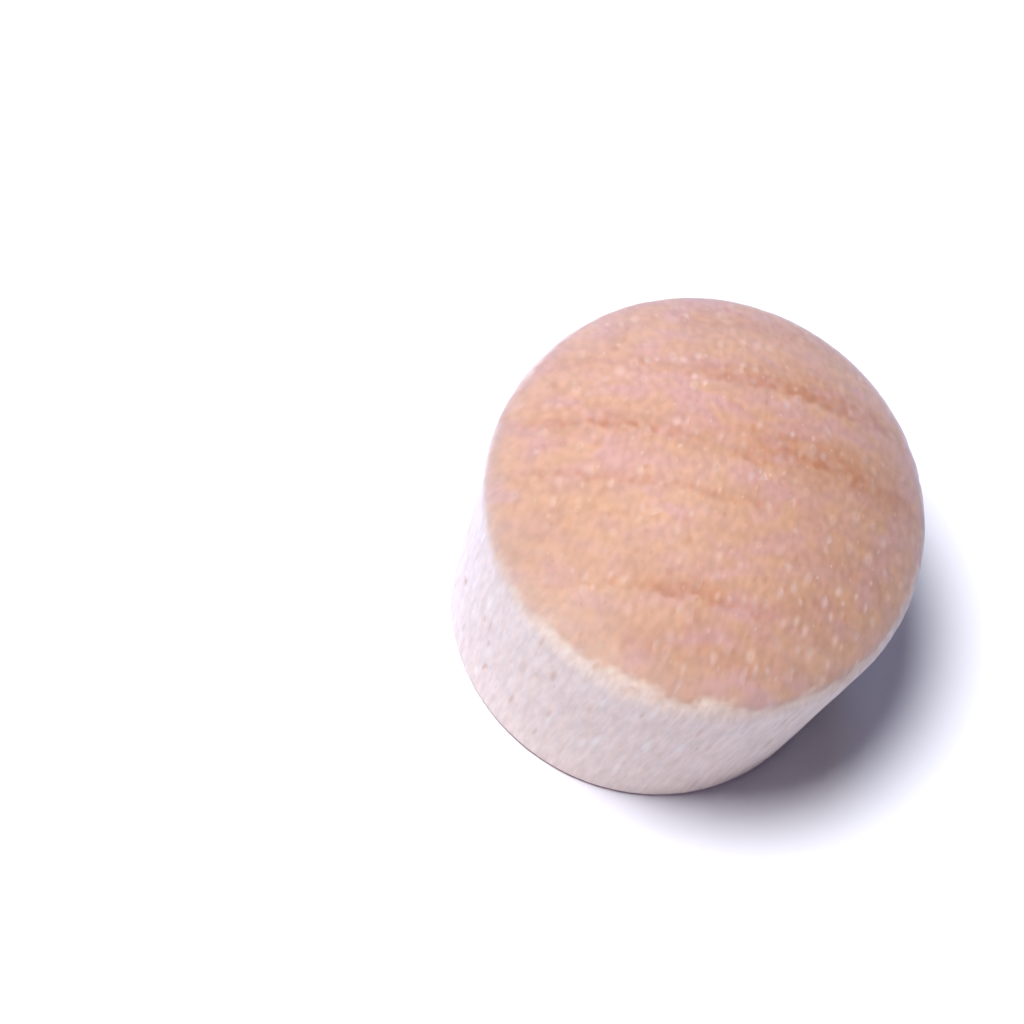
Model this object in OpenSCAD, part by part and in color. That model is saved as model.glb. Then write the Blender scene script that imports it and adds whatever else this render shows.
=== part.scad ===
// Tapered wood plug with a domed head, turned from one piece with the grain along its axis.
// The flat end enters the hole first. The wall widens upwards, so the plug wedges in the hole
// and its rounded head stays proud of the surface.
// Origin: centre of the flat end. +Z: along the axis, towards the crown.

/* [Shank] */
// Diameter of the flat end, at the sharp corner that its broken edge replaces
base_d = 9; // [7:0.1:10]
// Height of the tapered wall, from the flat end to the corner that the shoulder rounds off
shank_h = 6.8; // [5:0.1:14]
// Length of the broken edge around the flat end, along the face and along the wall
edge_break = 0.15; // [0.05:0.05:0.5]

/* [Head] */
// Diameter at the corner where the wall would meet the crown
head_d = 10.4; // [10:0.1:13]
// Rise of the domed crown above that corner
crown_h = 2.7; // [1.5:0.1:4.5]
// Radius that rounds the wall into the crown
shoulder_r = 1.65; // [0.4:0.05:2.2]

/* [Hidden] */
$fn = 128;

// The shoulder stands this much proud, so that its surface crosses its neighbours and never only touches them
seam_lap = 0.0002;

// The wall, in the half-plane of radius and height
base_corner = [base_d / 2, 0];
wall_lean = atan((head_d - base_d) / 2 / shank_h);
wall_up = [sin(wall_lean), cos(wall_lean)];
wall_in = [-cos(wall_lean), sin(wall_lean)];

// The crown is a ball's cap through the head's corner and the top of the plug
plug_h = shank_h + crown_h;
crown_r = (pow(head_d / 2, 2) + pow(crown_h, 2)) / (2 * crown_h);
crown_centre = [0, plug_h - crown_r];

// The shoulder is tangent to the wall and, from inside, to the crown
crown_along_wall = (crown_centre - base_corner) * wall_up;
crown_from_wall = (crown_centre - base_corner) * wall_in;
shoulder_along_wall = crown_along_wall
  + sqrt(pow(crown_r - shoulder_r, 2) - pow(crown_from_wall - shoulder_r, 2));
wall_top = base_corner + shoulder_along_wall * wall_up;
shoulder_centre = wall_top + shoulder_r * wall_in;
crown_start = crown_centre
  + (shoulder_centre - crown_centre) * crown_r / (crown_r - shoulder_r);

// Straight-sided heart of the section: flat end, broken edge and wall
module shank_section() {
  polygon([
    [0, 0],
    base_corner - [edge_break, 0],
    base_corner + edge_break * wall_up,
    wall_top,
    shoulder_centre,
    crown_start,
    [0, crown_start[1]],
  ]);
}

module shoulder_section() {
  translate(shoulder_centre)
    circle(r = shoulder_r + seam_lap);
}

module crown_section() {
  intersection() {
    translate(crown_centre)
      circle(r = crown_r);
    translate([0, crown_start[1]])
      square([head_d / 2, crown_h]);
  }
}

module plug() {
  color("burlywood")
    rotate_extrude()
      union() {
        shank_section();
        shoulder_section();
        crown_section();
      }
}

plug();
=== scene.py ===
import itertools
import math

import bpy
import numpy as np
from mathutils import Matrix, Vector


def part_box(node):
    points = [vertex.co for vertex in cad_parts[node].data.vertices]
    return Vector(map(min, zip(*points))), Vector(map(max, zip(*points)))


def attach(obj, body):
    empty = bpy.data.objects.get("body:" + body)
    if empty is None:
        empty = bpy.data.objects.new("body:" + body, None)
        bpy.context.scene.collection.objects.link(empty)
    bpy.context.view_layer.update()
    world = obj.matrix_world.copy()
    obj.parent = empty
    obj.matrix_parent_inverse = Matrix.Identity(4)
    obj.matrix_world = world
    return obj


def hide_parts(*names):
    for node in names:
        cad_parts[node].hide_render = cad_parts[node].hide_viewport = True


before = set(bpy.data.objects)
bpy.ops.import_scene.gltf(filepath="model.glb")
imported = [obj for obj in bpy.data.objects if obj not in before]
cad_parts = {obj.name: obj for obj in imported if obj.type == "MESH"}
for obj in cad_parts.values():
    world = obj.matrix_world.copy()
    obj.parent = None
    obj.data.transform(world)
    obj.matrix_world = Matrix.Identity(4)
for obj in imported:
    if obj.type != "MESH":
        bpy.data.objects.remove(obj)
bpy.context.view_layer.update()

mm = 0.001               # the frame is in metres, and every size below is in millimetres
plugLow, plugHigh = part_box("plug")
print("frame loaded, plug", [round(size / mm, 2) for size in (plugHigh - plugLow)], "mm")


# sRGB hex to the linear colour that a shader socket takes
def linearColour(hexValue):
    channels = [int(hexValue[i:i + 2], 16) / 255 for i in (1, 3, 5)]
    linear = [c / 12.92 if c <= 0.04045 else ((c + 0.055) / 1.055) ** 2.4 for c in channels]
    return (*linear, 1.0)


# Adds a node with its settings, sets or links its sockets by name or number, and gives back its
# first live output; .node on that output reaches the others
def addNode(tree, kind, settings, sockets):
    node = tree.nodes.new(kind)
    for name, value in settings.items():
        setattr(node, name, value)
    for key, value in sockets.items():
        if isinstance(value, bpy.types.NodeSocket):
            tree.links.new(value, node.inputs[key])
        else:
            node.inputs[key].default_value = value
    return next((socket for socket in node.outputs if socket.enabled), None)


# Smooth noise from -1 to 1: a random number at each whole-number point of space, blended across
# each cell by the smooth step 3t^2 - 2t^3 along the three axes
def smoothNoise(points, cell, seed):
    scaled = points / np.asarray(cell, float)
    corner = np.floor(scaled).astype(np.int64)
    share = scaled - corner
    share = share * share * (3 - 2 * share)
    total = np.zeros(points.shape[:-1])
    for step in itertools.product((0, 1), repeat=3):
        weight = np.prod(np.where(step, share, 1 - share), axis=-1)
        total += weight * randomAt(corner + step, seed)
    return 2 * total - 1


# A repeatable random number from 0 to 1 for each whole-number point, by mixing its digits
def randomAt(corner, seed):
    mixed = (corner * np.array([73856093, 19349663, 83492791])).sum(-1) + seed * 374761393
    mixed = (mixed ^ (mixed >> 13)) * 1274126177 & 0x7FFFFFFF
    mixed = (mixed ^ (mixed >> 11)) * 668265263 & 0x7FFFFFFF
    return ((mixed ^ (mixed >> 15)) & 0xFFFFF) / 0xFFFFF


# Smooth noise times a height; a noise is kept as that height, a cell size, which is one number or
# one along each of x, y and z, and a seed
def noiseOf(points, noise):
    height, cell, seed = noise
    return height * smoothNoise(points, cell, seed)


# Rises smoothly from 0 at low to 1 at high
def smoothStep(low, high, value):
    share = np.clip((value - low) / (high - low), 0, 1)
    return share * share * (3 - 2 * share)


plugShape = {
    "footDiameter": 9.0,       # across the flat end, at its sharp corner
    "headDiameter": 10.4,      # where the wall would meet the crown
    "shankHeight": 6.8,        # up to that corner
    "crownRise": 2.7,          # from that corner to the top
    "shoulderRadius": 1.65,    # rounds the corner off
    "edgeBreak": 0.15,         # around the flat end
    "columns": 448,            # steps around the axis
    "rows": {"foot": 12, "edge": 4, "wall": 92, "shoulder": 21, "crown": 82},
}


# The section as rows of (radius, height, normal radius, normal height): a flat foot, a small arc,
# a straight wall, an arc tangent to the wall and to the ball, and the ball's cap
def turnedSection(shape):
    rows = shape["rows"]
    headRadius = shape["headDiameter"] / 2
    foot = np.array([shape["footDiameter"] / 2, 0])
    lean = math.atan2(headRadius - foot[0], shape["shankHeight"])
    wallUp = np.array([math.sin(lean), math.cos(lean)])
    wallIn = np.array([-math.cos(lean), math.sin(lean)])
    ballRadius = (headRadius ** 2 + shape["crownRise"] ** 2) / (2 * shape["crownRise"])
    ball = np.array([0, shape["shankHeight"] + shape["crownRise"] - ballRadius])
    shoulderRadius = shape["shoulderRadius"]
    inset = (ball - foot) @ wallIn - shoulderRadius
    wallLength = (ball - foot) @ wallUp + math.sqrt((ballRadius - shoulderRadius) ** 2 - inset ** 2)
    shoulder = foot + wallLength * wallUp + shoulderRadius * wallIn
    crownAngle = math.atan2(shoulder[1] - ball[1], shoulder[0])
    edgeRadius = shape["edgeBreak"] * math.tan(math.pi / 4 + lean / 2)
    edge = np.array([foot[0] - shape["edgeBreak"], edgeRadius])

    # count steps of an arc, without its first point
    def arc(centre, radius, start, end, count):
        angle = start + (end - start) * (np.arange(count) + 1) / count
        normal = np.stack([np.cos(angle), np.sin(angle)], -1)
        return np.hstack([centre + radius * normal, normal])

    footRadii = edge[0] * (np.arange(rows["foot"]) + 1) / rows["foot"]
    footRows = np.stack([footRadii, 0 * footRadii, 0 * footRadii, 0 * footRadii - 1], -1)
    wallShare = (np.arange(rows["wall"]) + 1) / rows["wall"]
    wallSteps = shape["edgeBreak"] + (wallLength - shape["edgeBreak"]) * wallShare
    wallRows = np.hstack([foot + wallSteps[:, None] * wallUp, np.tile(-wallIn, (rows["wall"], 1))])
    return np.vstack([
        footRows,
        arc(edge, edgeRadius, -math.pi / 2, -lean, rows["edge"]),
        wallRows,
        arc(shoulder, shoulderRadius, -lean, crownAngle, rows["shoulder"]),
        arc(ball, ballRadius, crownAngle, math.pi / 2, rows["crown"])[:-1],
    ])


woodGrain = {
    "ringTurn": 18.0,          # degrees from +X to the way that the growth rings run over the dome
    "ringWobble": (0.06, (2.0, 2.0, 9.0), 21),       # slow wander of a ring
    "ringRagged": (0.12, (0.22, 0.22, 2.0), 22),     # the ragged edge that its cells give it
    "ringBlotches": (0.5, (0.40, 0.40, 3.0), 23),    # what breaks up its colour, coarse and fine
    "ringSpots": (0.8, (0.15, 0.15, 1.5), 26),
    "ringLevel": (0.75, 0.10, 1.10),                 # mean, least and most share that they leave
    # each ring's place across the grain, its slope, depth of colour, the widths over which it sets
    # in and dies away, and where along it the colour is strongest and how far that reaches
    "rings": [
        (3.95, 0.02, 0.30, 0.35, 0.90, 0.0, 2.5),
        (2.15, 0.05, 0.64, 0.20, 0.52, 1.4, 2.4),
        (0.36, -0.01, 0.80, 0.16, 0.18, -2.7, 1.3),
        (0.58, 0.02, 0.70, 0.60, 0.60, 2.2, 1.9),
        (0.22, 0.00, 0.50, 0.30, 0.30, 0.4, 0.6),
        (-0.86, 0.01, 0.40, 0.14, 0.15, -1.8, 3.0),
        (-1.62, 0.02, 0.30, 0.14, 0.20, 4.2, 1.4),
        (-2.98, 0.03, 0.58, 0.22, 0.30, -0.2, 0.8),
        (-3.12, 0.03, 0.62, 0.12, 0.20, -0.4, 2.0),
        (-3.31, 0.27, 0.20, 0.30, 0.45, 2.8, 1.1),
        (-4.20, 0.02, 0.30, 0.25, 0.50, 0.4, 1.8),
    ],
    "faint": 0.20,             # share of a ring's colour that runs on past its strongest part
    "earlyWood": [(1.40, 0.50, 1.0), (-0.30, 0.28, 0.6)],    # pale bands: place, width and strength
    "earlyWander": (0.15, (0.9, 0.9, 4.0), 27),
    # where dust lies thickest, along and across the rings, and how far that reaches
    "dust": [(-0.2, 1.0, 2.0), (3.0, -1.9, 1.9), (0.8, -4.0, 1.5)],
    "dustThin": 0.45,          # share of it that lies everywhere
    "dustLevel": 0.75,         # its mean, and the noise about that
    "dustUneven": (0.5, 0.8, 28),
    "border": 6.93,            # height at which the sanded dome ends and the wall's long grain begins
    "borderWander": (0.20, 0.55, 24),
    "borderRagged": (0.10, 0.16, 25),
    "borderSoft": 0.15,
    "lowSide": (210.0, 34.0),  # where around the axis the border is lower and softer, and how wide
    "lowDip": 0.55,
    "lowSmear": 0.35,
    "hazeAndShade": (0.15, 0.65),      # end grain's colour on the wall below the border, partly a soft border, partly painted shade on the lit shoulder: most of it, and how far down
    "pale": (0.15, 0.90),      # most long grain that shows on the dome, and how fast that dies away
    "paleSide": (235.0, 40.0),    # where around the axis the dome is paler, and how wide
    "paleMore": 0.24,
    "rim": (0.05, 0.11),       # the pale line at the border: how far below it, and its width
    "footEdge": (0.02, 0.10),  # heights over which the foot's end grain gives way to the wall
}


# Turns x and y to run along and across the growth rings
def ringAxes(points, grain):
    turn = math.radians(grain["ringTurn"])
    along = math.cos(turn) * points[..., 0] + math.sin(turn) * points[..., 1]
    across = math.cos(turn) * points[..., 1] - math.sin(turn) * points[..., 0]
    return along, across


# From 0 where the rings lie flat against the wall to 1 where they meet it edge on: the square of the
# way along the rings over that of the radius, which is kept off nought at the axis
def radialFace(points, grain):
    along, across = ringAxes(points, grain)
    return along ** 2 / np.maximum(along ** 2 + across ** 2, 0.01)


# Growth rings from 0 to 1: crossing a ring, the colour sets in over the edge and dies away as half a
# bell curve over the fade; along the ring it is a bell curve on top of a faint constant share, and
# noise breaks it into blotches
def ringShade(points, grain):
    along, across = ringAxes(points, grain)
    across = across + noiseOf(points, grain["ringWobble"]) + noiseOf(points, grain["ringRagged"])
    shade = np.zeros(points.shape[:-1])
    for place, slope, dark, edge, fade, middle, reach in grain["rings"]:
        past = across - place - slope * along
        line = smoothStep(-edge, 0.0, past) * np.exp(-(np.maximum(past, 0) / fade) ** 2)
        strength = grain["faint"] + (1 - grain["faint"]) * np.exp(-((along - middle) / reach) ** 2)
        shade = np.maximum(shade, dark * line * strength)
    blotches = noiseOf(points, grain["ringBlotches"]) + noiseOf(points, grain["ringSpots"])
    mean, least, most = grain["ringLevel"]
    return shade * np.clip(mean + blotches, least, most)


# Pale bands of early wood from 0 to 1, each a bell curve across the rings
def earlyWood(points, grain):
    across = ringAxes(points, grain)[1] + noiseOf(points, grain["earlyWander"])
    bands = [most * np.exp(-((across - place) / width) ** 2)
             for place, width, most in grain["earlyWood"]]
    return np.clip(sum(bands), 0, 1)


# Dust in the vessels from 0 to 1: thin all over, and a bell curve about each place where it lies
def dustShare(points, grain):
    along, across = ringAxes(points, grain)
    hills = sum(np.exp(-((along - middle) ** 2 + (across - place) ** 2) / reach ** 2)
                for middle, place, reach in grain["dust"])
    uneven = grain["dustLevel"] + noiseOf(points, grain["dustUneven"])
    return np.clip((grain["dustThin"] + (1 - grain["dustThin"]) * hills) * uneven, 0, 1)


# From 0 to 1 on one side of the plug: a flat-topped bell curve of the turn about a middle, in degrees
def oneSide(points, side):
    middle, reach = side
    turn = np.degrees(np.arctan2(points[..., 1], points[..., 0])) % 360
    return np.exp(-((turn - middle) / reach) ** 4)


# Height of the border between dome and wall, which is level but for a dip on one side
def borderHeight(points, grain):
    return grain["border"] - grain["lowDip"] * oneSide(points, grain["lowSide"])


# Height above that border, which wanders and is ragged
def overBorder(points, grain):
    wander = noiseOf(points, grain["borderWander"])
    ragged = noiseOf(points, grain["borderRagged"])
    return points[..., 2] - borderHeight(points, grain) + wander + ragged


# The pale line along the border from 0 to 1, a bell curve of the height
def rimLine(points, grain):
    below, width = grain["rim"]
    return np.exp(-((overBorder(points, grain) + below) / width) ** 2)


# End grain from 0 on the wall to 1 on the dome and the foot, by smooth steps of the height; near the
# border some shows on the wall, as a smooth step, which is partly a soft border and partly painted
# shade on the shoulder there, and some is missing on the dome, as a falling curve
def endGrainShare(points, grain):
    over = overBorder(points, grain)
    mostHazeAndShade, hazeAndShadeDepth = grain["hazeAndShade"]
    mostPale, paleReach = grain["pale"]
    soft = grain["borderSoft"] + grain["lowSmear"] * oneSide(points, grain["lowSide"])
    dome = smoothStep(-soft, soft, over)
    pale = mostPale + grain["paleMore"] * oneSide(points, grain["paleSide"])
    onDome = 1 - pale * np.exp(-np.maximum(over, 0) / paleReach)
    # painted shade: end grain's darker colour laid over the top of the wall, where the shoulder
    # catches the lamp
    onWall = mostHazeAndShade * smoothStep(-hazeAndShadeDepth, 0.0, over)
    foot = 1 - smoothStep(*grain["footEdge"], points[..., 2])
    return np.maximum(dome * onDome + (1 - dome) * onWall, foot)


woodRelief = {
    "outOfRound": (0.012, (3.1, 3.1, 3.7), 11),      # slow waves that the turning leaves
    "fibres": (0.009, (0.15, 0.15, 1.6), 12),        # fine ridges along the grain, on the wall
    "torn": (1.0, (0.20, 0.20, 0.85), 13),           # fibres are torn out where this noise is high
    "tornFrom": (0.45, 0.95),                        # where that sets in, and where it is full
    "tornDepth": 0.06,
    "tornPatch": (1.0, (1.7, 1.7, 2.3), 14),         # the pits are deep where this noise is high,
    "patchEdgeOn": 1.1,                              # more so where the rings meet the wall edge on
    "patchFrom": (0.20, 1.20),
    "tornLeast": 0.25,                               # share of the depth elsewhere
    "lip": (0.018, 0.08, 0.13),                      # how proud the dome's edge is, how high, how wide
    "grit": (0.0035, 0.17, 15),                      # what the sanding leaves on the dome
    "wallFrom": 0.25,                                # heights over which the wall's relief sets in,
    "reliefFrom": 0.20,                              # and all of it, so that the foot stays flat
}


# How far the surface stands out: slow waves all over; on the wall, ridges that are long along the
# axis and pits where such a noise passes a limit; on the dome, fine grit and a lip at its border
def surfaceRelief(points, relief, grain):
    height = points[..., 2]
    onDome = endGrainShare(points, grain)
    onWall = (1 - onDome) * smoothStep(0.0, relief["wallFrom"], height)
    patch = noiseOf(points, relief["tornPatch"]) + relief["patchEdgeOn"] * radialFace(points, grain)
    deep = relief["tornLeast"] + (1 - relief["tornLeast"]) * smoothStep(*relief["patchFrom"], patch)
    pits = smoothStep(*relief["tornFrom"], noiseOf(points, relief["torn"])) * deep
    wall = noiseOf(points, relief["fibres"]) - relief["tornDepth"] * pits
    proud, above, width = relief["lip"]
    lip = proud * np.exp(-((height - borderHeight(points, grain) - above) / width) ** 2)
    dome = noiseOf(points, relief["grit"]) + lip
    lift = noiseOf(points, relief["outOfRound"]) + onWall * wall + onDome * dome
    return lift * smoothStep(0.0, relief["reliefFrom"], height)


# Turns the section about the axis, lifts each point along its normal by the relief, closes both
# poles with a fan of triangles, and keeps what the wood shows at each point as attributes
def turnedPlug(name, shape, relief, grain):
    section = turnedSection(shape)
    rowCount, columns = len(section), shape["columns"]
    angle = 2 * math.pi * np.arange(columns) / columns
    around = np.stack([np.cos(angle), np.sin(angle)], -1)
    radius, height, normalOut, normalUp = section.T
    points = np.dstack([np.outer(radius, around[:, 0]), np.outer(radius, around[:, 1]),
                        np.outer(height, np.ones(columns))])
    normals = np.dstack([np.outer(normalOut, around[:, 0]), np.outer(normalOut, around[:, 1]),
                         np.outer(normalUp, np.ones(columns))])
    lift = surfaceRelief(points, relief, grain)
    lifted = points + lift[..., None] * normals
    top = shape["shankHeight"] + shape["crownRise"]
    poles = np.array([[0, 0, 0], [0, 0, top + lift[-1].mean()]])
    vertices = np.vstack([lifted.reshape(-1, 3), poles])
    index = np.arange(rowCount * columns).reshape(rowCount, columns)
    nextColumn = np.roll(index, -1, 1)
    quads = np.stack([index[:-1], nextColumn[:-1], nextColumn[1:], index[1:]], -1).reshape(-1, 4)
    footPole, crownPole = rowCount * columns, rowCount * columns + 1
    footFan = np.stack([nextColumn[0], index[0], np.full(columns, footPole)], -1)
    crownFan = np.stack([index[-1], nextColumn[-1], np.full(columns, crownPole)], -1)
    mesh = bpy.data.meshes.new(name)
    faces = quads.tolist() + footFan.tolist() + crownFan.tolist()
    mesh.from_pydata((vertices * mm).tolist(), [], faces)
    flat = np.vstack([points.reshape(-1, 3), poles])
    values = {"ring": ringShade(flat, grain), "endGrain": endGrainShare(flat, grain),
              "rim": rimLine(flat, grain), "radial": radialFace(flat, grain),
              "earlyWood": earlyWood(flat, grain), "dust": dustShare(flat, grain),
              "relief": np.append(lift.ravel(), [0, 0])}
    for label, value in values.items():
        mesh.attributes.new(label, "FLOAT", "POINT").data.foreach_set("value", value)
    mesh.shade_smooth()
    plug = bpy.data.objects.new(name, mesh)
    bpy.context.scene.collection.objects.link(plug)
    return plug


# Birch, turned and sanded, with no finish. The dome shows end grain: warm tan, matt, with soft
# growth rings and pale specks where dust fills the vessels. The wall shows long grain: pale and
# dry, with fine streaks along the axis, short brown vessel lines and pale flecks of rays.
birch = {
    "endGrain": "#C6977E", "endGrainPink": "#CB9B91", "endGrainGold": "#CE9E7E",
    "lateWood": "#B5714C", "speck": "#EBD6C4", "speckPink": "#EAD0CB",
    "longGrain": "#F2DFD0", "longGrainDeep": "#EBD2BE", "rim": "#EBD3AE",
    "vessel": "#BE875A", "fleck": "#FBF4E8", "sheenTint": "#DCE0FF",

    # sizes of the patterns, in millimetres; birch's vessels are about 0.07 across and its fibres
    # finer still, so streaks, pores, fibres, specks and dashes are drawn coarser, so that they show
    "mottle": 0.75,
    "hue": 0.40,
    "streak": 0.17,
    "pore": 0.16,
    "fibre": 0.14,
    "speckGap": 0.27,
    "dashGap": 0.22,
    "speckBend": 0.14,         # how far the specks' cells are pushed out of shape

    # how much longer than wide the patterns are
    "layer": 1.7,              # the mottle, along the rings
    "radial": 1.4,             # pores and specks, across the rings
    "dashLength": 6.0,         # dashes and fibres, along the grain
    "stretch": 14.0,           # all the others, along the grain
    "grainLean": 2.5,          # degrees between the grain and the axis

    # the noise values over which a pattern sets in, and how much of it shows
    "noiseSpan": (0.30, 0.70),
    "goldSpan": (0.34, 0.68),
    "goldMost": 0.85,
    "pinkOfEarlyWood": 0.75,
    "poreShade": (0.92, 1.07),
    "streakSpan": (0.36, 0.70),
    "streakMost": 0.70,
    "fibreShade": (0.91, 1.06),
    "ringOnWall": 0.14,
    "rimMost": 0.18,
    "pitSpan": (-0.045, -0.015),    # depth of relief, in millimetres
    "pitMost": 0.25,

    # share of cells that stay empty, the largest radius in a cell, and how much shows
    "speckNone": 0.42,
    "speckRadius": 0.64,
    "speckMost": 0.50,
    "darkNone": 0.55,
    "darkRadius": 0.60,
    "darkMost": (0.28, 0.60),       # away from the rings, and in them
    "dashNone": (0.58, 0.40),       # where the rings lie flat, and where they meet the wall edge on
    "brownRadius": 0.52,
    "brownMost": 0.44,
    "paleRadius": 0.62,
    "paleMost": 0.70,

    "roughness": (0.60, 0.74),      # in the streaks' hollows and on their ridges
    "ior": 1.5,
    "sheen": 0.42,                  # loose fibre ends catch the light at the rim
    "sheenRoughness": 0.4,
    "bump": 0.3,
    "bumpDepth": 0.03,
}


def birchMaterial(name, wood, grain):
    material = bpy.data.materials.new(name)
    material.use_nodes = True
    tree = material.node_tree
    tree.nodes.clear()
    smooth = {"interpolation_type": "SMOOTHSTEP"}
    blend = {"data_type": "RGBA"}          # on a Mix node, sockets 0, 6 and 7 are factor and colours
    multiply = {"data_type": "RGBA", "blend_type": "MULTIPLY"}
    colour = {key: linearColour(value) for key, value in wood.items() if isinstance(value, str)}
    noiseLow, noiseHigh = wood["noiseSpan"]

    # places in millimetres, squeezed along the grain for streaks, end grain, mottle and dashes
    objectPlace = addNode(tree, "ShaderNodeTexCoord", {}, {}).node.outputs["Object"]
    inMillimetres = addNode(tree, "ShaderNodeVectorMath", {"operation": "SCALE"}, {
        0: objectPlace, "Scale": 1 / mm})
    lean = math.radians(wood["grainLean"])
    ringTurn = math.radians(grain["ringTurn"])
    squeezes = {
        "streak": (0, (1, 1, wood["stretch"])),
        "end": (ringTurn, (1, wood["radial"], wood["stretch"])),
        "mottle": (ringTurn, (wood["layer"], 1, wood["stretch"])),
        "dash": (0, (1, 1, wood["dashLength"])),
    }
    place = {key: addNode(tree, "ShaderNodeMapping", {"vector_type": "TEXTURE"}, {
        "Vector": inMillimetres, "Rotation": (lean, lean / 2, turn), "Scale": scale})
        for key, (turn, scale) in squeezes.items()}
    share = {key: addNode(tree, "ShaderNodeAttribute", {"attribute_name": key}, {}).node.outputs["Fac"]
             for key in ("ring", "earlyWood", "dust", "endGrain", "rim", "radial", "relief")}

    # end grain: tan with a pink and a golden mottle, then the growth rings
    mottle = addNode(tree, "ShaderNodeTexNoise", {}, {
        "Vector": place["mottle"], "Scale": 1 / wood["mottle"], "Detail": 1.0, "Roughness": 0.5})
    hue = addNode(tree, "ShaderNodeTexNoise", {}, {
        "Vector": place["mottle"], "Scale": 1 / wood["hue"], "Detail": 0.7, "Roughness": 0.5})
    pinkShare = addNode(tree, "ShaderNodeMapRange", smooth, {
        "Value": mottle, "From Min": noiseLow, "From Max": noiseHigh})
    pinkShare = addNode(tree, "ShaderNodeMath", {"operation": "MULTIPLY_ADD", "use_clamp": True}, {
        0: share["earlyWood"], 1: wood["pinkOfEarlyWood"], 2: pinkShare})
    goldShare = addNode(tree, "ShaderNodeMapRange", smooth, {
        "Value": hue, "From Min": wood["goldSpan"][0], "From Max": wood["goldSpan"][1],
        "To Max": wood["goldMost"]})
    endColour = addNode(tree, "ShaderNodeMix", blend, {
        0: pinkShare, 6: colour["endGrain"], 7: colour["endGrainPink"]})
    endColour = addNode(tree, "ShaderNodeMix", blend, {
        0: goldShare, 6: endColour, 7: colour["endGrainGold"]})
    endColour = addNode(tree, "ShaderNodeMix", blend, {
        0: share["ring"], 6: endColour, 7: colour["lateWood"]})

    # pale specks: cells bent by the hue noise, each with its own size, or none
    bent = addNode(tree, "ShaderNodeVectorMath", {"operation": "MULTIPLY_ADD"}, {
        0: hue.node.outputs["Color"], 1: (wood["speckBend"],) * 3, 2: place["end"]})
    speckCell = addNode(tree, "ShaderNodeTexVoronoi", {"voronoi_dimensions": "2D"}, {
        "Vector": bent, "Scale": 1 / wood["speckGap"]})
    speckChance = addNode(tree, "ShaderNodeSeparateColor", {}, {
        "Color": speckCell.node.outputs["Color"]})
    speckRadius = addNode(tree, "ShaderNodeMapRange", {}, {
        "Value": speckChance, "From Min": wood["speckNone"], "To Max": wood["speckRadius"]})
    speckMost = addNode(tree, "ShaderNodeMath", {"operation": "MULTIPLY"}, {
        0: share["dust"], 1: wood["speckMost"]})
    speck = addNode(tree, "ShaderNodeMapRange", smooth, {
        "Value": speckCell, "From Max": speckRadius, "To Min": speckMost, "To Max": 0.0})
    speckColour = addNode(tree, "ShaderNodeMix", blend, {
        0: speckChance.node.outputs["Blue"], 6: colour["speck"], 7: colour["speckPink"]})
    endColour = addNode(tree, "ShaderNodeMix", blend, {0: speck, 6: endColour, 7: speckColour})

    # dark vessels, of which there are more in the rings
    darkRadius = addNode(tree, "ShaderNodeMapRange", {}, {
        "Value": speckChance.node.outputs["Green"], "From Min": wood["darkNone"],
        "To Max": wood["darkRadius"]})
    darkMost = addNode(tree, "ShaderNodeMapRange", {}, {
        "Value": share["ring"], "To Min": wood["darkMost"][0], "To Max": wood["darkMost"][1]})
    dark = addNode(tree, "ShaderNodeMapRange", smooth, {
        "Value": speckCell, "From Max": darkRadius, "To Min": darkMost, "To Max": 0.0})
    endColour = addNode(tree, "ShaderNodeMix", blend, {0: dark, 6: endColour, 7: colour["lateWood"]})

    # the finest pores darken and lighten the end grain by a few per cent
    pore = addNode(tree, "ShaderNodeTexNoise", {}, {
        "Vector": place["end"], "Scale": 1 / wood["pore"], "Detail": 0.5, "Roughness": 0.5})
    poreShade = addNode(tree, "ShaderNodeMapRange", {}, {
        "Value": pore, "From Min": noiseLow, "From Max": noiseHigh,
        "To Min": wood["poreShade"][0], "To Max": wood["poreShade"][1]})
    endColour = addNode(tree, "ShaderNodeMix", multiply, {0: 1.0, 6: endColour, 7: poreShade})

    # long grain: soft streaks, the rings' edges faintly, and fibres
    streak = addNode(tree, "ShaderNodeTexNoise", {}, {
        "Vector": place["streak"], "Scale": 1 / wood["streak"], "Detail": 3.0, "Roughness": 0.6})
    streakShare = addNode(tree, "ShaderNodeMapRange", smooth, {
        "Value": streak, "From Min": wood["streakSpan"][0], "From Max": wood["streakSpan"][1],
        "To Max": wood["streakMost"]})
    longColour = addNode(tree, "ShaderNodeMix", blend, {
        0: streakShare, 6: colour["longGrain"], 7: colour["longGrainDeep"]})
    ringShare = addNode(tree, "ShaderNodeMath", {"operation": "MULTIPLY"}, {
        0: share["ring"], 1: wood["ringOnWall"]})
    longColour = addNode(tree, "ShaderNodeMix", blend, {
        0: ringShare, 6: longColour, 7: colour["vessel"]})
    fibre = addNode(tree, "ShaderNodeTexNoise", {}, {
        "Vector": place["dash"], "Scale": 1 / wood["fibre"], "Detail": 1.0, "Roughness": 0.6})
    fibreShade = addNode(tree, "ShaderNodeMapRange", {}, {
        "Value": fibre, "From Min": noiseLow, "From Max": noiseHigh,
        "To Min": wood["fibreShade"][0], "To Max": wood["fibreShade"][1]})
    longColour = addNode(tree, "ShaderNodeMix", multiply, {0: 1.0, 6: longColour, 7: fibreShade})

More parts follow.
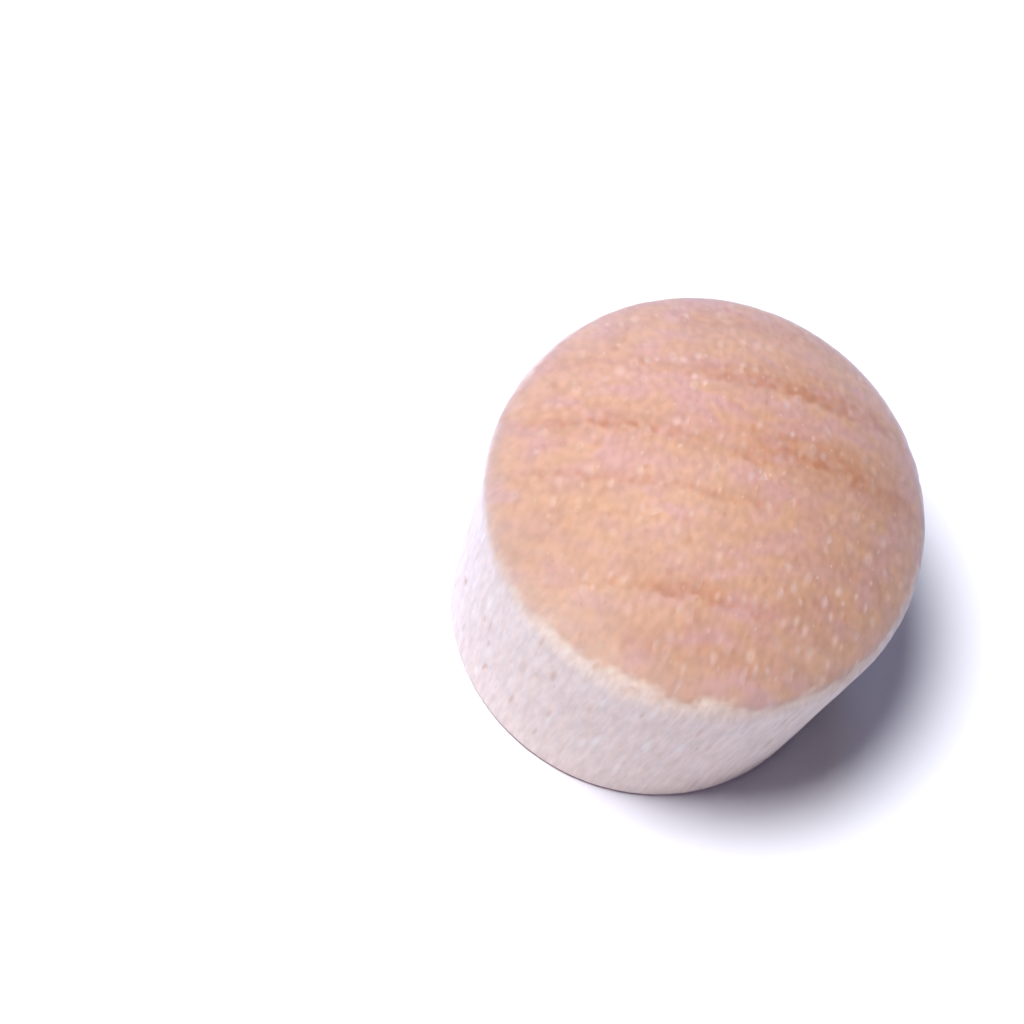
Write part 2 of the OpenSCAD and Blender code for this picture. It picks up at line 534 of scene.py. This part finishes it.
    # brown and pale dashes: cells with their own size, more of them where the rings meet the wall
    # edge on, and brown in the pits
    dashCell = addNode(tree, "ShaderNodeTexVoronoi", {}, {
        "Vector": place["dash"], "Scale": 1 / wood["dashGap"]})
    dashChance = addNode(tree, "ShaderNodeSeparateColor", {}, {
        "Color": dashCell.node.outputs["Color"]})
    dashNone = addNode(tree, "ShaderNodeMapRange", {}, {
        "Value": share["radial"], "To Min": wood["dashNone"][0], "To Max": wood["dashNone"][1]})
    brownRadius = addNode(tree, "ShaderNodeMapRange", {}, {
        "Value": dashChance, "From Min": dashNone, "To Max": wood["brownRadius"]})
    brownDash = addNode(tree, "ShaderNodeMapRange", smooth, {
        "Value": dashCell, "From Max": brownRadius, "To Min": wood["brownMost"], "To Max": 0.0})
    paleRadius = addNode(tree, "ShaderNodeMapRange", {}, {
        "Value": dashChance.node.outputs["Green"], "From Min": dashNone, "To Max": wood["paleRadius"]})
    paleDash = addNode(tree, "ShaderNodeMapRange", smooth, {
        "Value": dashCell, "From Max": paleRadius, "To Min": wood["paleMost"], "To Max": 0.0})
    longColour = addNode(tree, "ShaderNodeMix", blend, {
        0: paleDash, 6: longColour, 7: colour["fleck"]})
    longColour = addNode(tree, "ShaderNodeMix", blend, {
        0: brownDash, 6: longColour, 7: colour["vessel"]})
    inPit = addNode(tree, "ShaderNodeMapRange", smooth, {
        "Value": share["relief"], "From Min": wood["pitSpan"][0], "From Max": wood["pitSpan"][1],
        "To Min": wood["pitMost"], "To Max": 0.0})
    longColour = addNode(tree, "ShaderNodeMix", blend, {0: inPit, 6: longColour, 7: colour["vessel"]})

    # the two meet at the border, where the wood is thin and pale yellow
    wholeColour = addNode(tree, "ShaderNodeMix", blend, {
        0: share["endGrain"], 6: longColour, 7: endColour})
    rimShare = addNode(tree, "ShaderNodeMath", {"operation": "MULTIPLY"}, {
        0: share["rim"], 1: wood["rimMost"]})
    wholeColour = addNode(tree, "ShaderNodeMix", blend, {
        0: rimShare, 6: wholeColour, 7: colour["rim"]})
    roughness = addNode(tree, "ShaderNodeMapRange", {}, {
        "Value": streak, "From Min": noiseLow, "From Max": noiseHigh,
        "To Min": wood["roughness"][0], "To Max": wood["roughness"][1]})
    bumpHeight = addNode(tree, "ShaderNodeMath", {"operation": "SUBTRACT"}, {0: pore, 1: brownDash})
    bump = addNode(tree, "ShaderNodeBump", {}, {
        "Strength": wood["bump"], "Distance": wood["bumpDepth"] * mm, "Height": bumpHeight})
    shader = addNode(tree, "ShaderNodeBsdfPrincipled", {}, {
        "Base Color": wholeColour, "Roughness": roughness, "IOR": wood["ior"], "Normal": bump,
        "Sheen Weight": wood["sheen"], "Sheen Roughness": wood["sheenRoughness"],
        "Sheen Tint": colour["sheenTint"]})
    addNode(tree, "ShaderNodeOutputMaterial", {}, {"Surface": shader})
    return material


plug = turnedPlug("turned_plug", plugShape, woodRelief, woodGrain)
plug.data.materials.append(birchMaterial("birch turned and sanded", birch, woodGrain))
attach(plug, "root")
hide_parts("plug")
triangles = sum(len(face.vertices) - 2 for face in plug.data.polygons)
print("plug turned:", len(plug.data.vertices), "points,", triangles, "triangles")

# How the photograph shows the plug, in its 1024 by 1024 frame
picture = {
    "side": 1024,
    "pixelsPerMm": 43.77,
    "plugAt": (687.7, 537.8),  # the middle of the plug's axis
    "elevation": 64.33,        # of the camera above the foot's plane, in degrees
    "lean": 31.4,              # of the plug's axis to the right in the picture, in degrees
    "lens": 600.0,             # a long lens: the outline shows hardly any perspective
    "sensor": 36.0,
    "clip": 50.0,              # the camera sees from its distance over this to its distance times it
}


# The camera's axes: back away from the plug, then right and up turned by the lean
def pictureAxes(view):
    elevation, lean = math.radians(view["elevation"]), math.radians(view["lean"])
    back = Vector((0, -math.cos(elevation), math.sin(elevation)))
    level = Vector((1, 0, 0))
    upright = back.cross(level)
    right = math.cos(lean) * level + math.sin(lean) * upright
    up = -math.sin(lean) * level + math.cos(lean) * upright
    return right, up, back


# The camera looks at the point that puts the plug's middle on its pixel
def placeCamera(view, middle):
    right, up, back = pictureAxes(view)
    field = view["side"] / view["pixelsPerMm"] * mm
    distance = field * view["lens"] / view["sensor"]
    offsetX = (view["plugAt"][0] - view["side"] / 2) / view["pixelsPerMm"] * mm
    offsetY = (view["plugAt"][1] - view["side"] / 2) / view["pixelsPerMm"] * mm
    aim = middle - offsetX * right + offsetY * up
    data = bpy.data.cameras.new("camera")
    data.lens = view["lens"]
    data.sensor_width = view["sensor"]
    data.clip_start = distance / view["clip"]
    data.clip_end = distance * view["clip"]
    camera = bpy.data.objects.new("camera", data)
    turned = Matrix((right, up, back)).transposed().to_4x4()
    camera.matrix_world = Matrix.Translation(aim + distance * back) @ turned
    bpy.context.scene.collection.objects.link(camera)
    bpy.context.scene.camera = camera


# Towards each lamp along the picture's right, up and back; metres and watts
studio = {
    "distance": 0.40,
    "lamps": {
        "key": {"from": (-0.088, 0.372, 0.924), "size": 0.13, "power": 1.98, "colour": "#FDFDFF"},
        "left": {"from": (-0.87, -0.20, 0.46), "size": 0.20, "power": 0.11, "colour": "#D2D0FF"},
        "front": {"from": (0.05, -0.80, 0.60), "size": 0.20, "power": 0.25, "colour": "#DAD2FF"},
        "behind": {"from": (-0.10, 0.97, -0.18), "size": 0.20, "power": 0.74, "colour": "#C4D0FF"},
    },
    "skyColour": "#D8D6FF",
    "skyStrength": 0.01,
    "floorColour": "#F3F4FC",
    "floorRoughness": 0.9,
    "floorSize": 3.0,
}


# A pale floor under the foot, a soft lamp overhead, three weak low ones around and an even sky
def placeStudio(room, view, middle):
    half = room["floorSize"] / 2
    corners = [(-half, -half, 0), (half, -half, 0), (half, half, 0), (-half, half, 0)]
    mesh = bpy.data.meshes.new("floor")
    mesh.from_pydata(corners, [], [(0, 1, 2, 3)])
    floor = bpy.data.objects.new("floor", mesh)
    bpy.context.scene.collection.objects.link(floor)
    paper = bpy.data.materials.new("white paper")
    paper.use_nodes = True
    paperShader = paper.node_tree.nodes["Principled BSDF"]
    paperShader.inputs["Base Color"].default_value = linearColour(room["floorColour"])
    paperShader.inputs["Roughness"].default_value = room["floorRoughness"]
    mesh.materials.append(paper)

    axes = pictureAxes(view)
    for name, lamp in room["lamps"].items():
        towards = sum((share * axis for share, axis in zip(lamp["from"], axes)), Vector()).normalized()
        data = bpy.data.lights.new(name, "AREA")
        data.shape = "DISK"
        data.size = lamp["size"]
        data.energy = lamp["power"]
        data.color = linearColour(lamp["colour"])[:3]
        light = bpy.data.objects.new(name, data)
        turned = towards.to_track_quat("Z", "Y").to_matrix().to_4x4()
        light.matrix_world = Matrix.Translation(middle + room["distance"] * towards) @ turned
        bpy.context.scene.collection.objects.link(light)

    sky = bpy.data.worlds.new("sky")
    sky.use_nodes = True
    background = sky.node_tree.nodes["Background"]
    background.inputs["Color"].default_value = linearColour(room["skyColour"])
    background.inputs["Strength"].default_value = room["skyStrength"]
    bpy.context.scene.world = sky
    bpy.context.scene.view_settings.view_transform = "Standard"


plugMiddle = (plugLow + plugHigh) / 2
placeCamera(picture, plugMiddle)
placeStudio(studio, picture, plugMiddle)
print("camera and studio placed")
